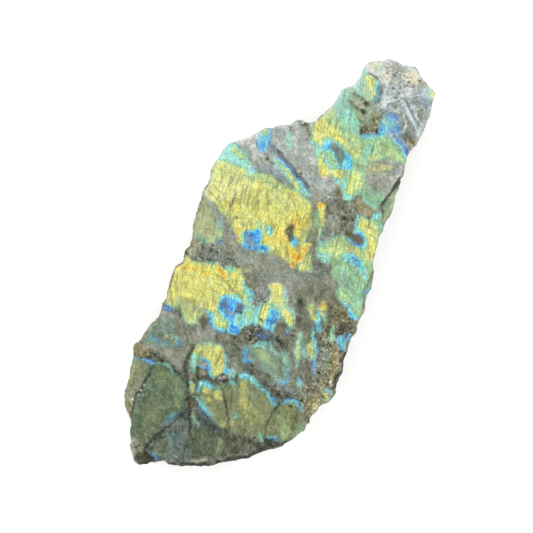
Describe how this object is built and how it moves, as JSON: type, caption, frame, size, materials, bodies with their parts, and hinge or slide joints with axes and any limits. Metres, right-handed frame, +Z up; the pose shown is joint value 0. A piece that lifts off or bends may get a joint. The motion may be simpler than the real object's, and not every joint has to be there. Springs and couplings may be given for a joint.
{
  "type": "polished stone slab",
  "caption": "Flat piece of labradorite with a polished upper face, broken sides and a sawn back, lying on its back.",
  "frame": {"origin": "middle of the bounding box in plan, on the sawn back the slab lies on", "axes": "+Z up from the sawn back to the polished face, +Y along the length towards the narrow head, +X across the slab to the right as seen from above"},
  "size_m": [0.0813, 0.1782, 0.018],
  "materials": {
    "labradorite": "polished"
  },
  "bodies": {
    "root": {"slab": "labradorite"}
  },
  "joints": []
}
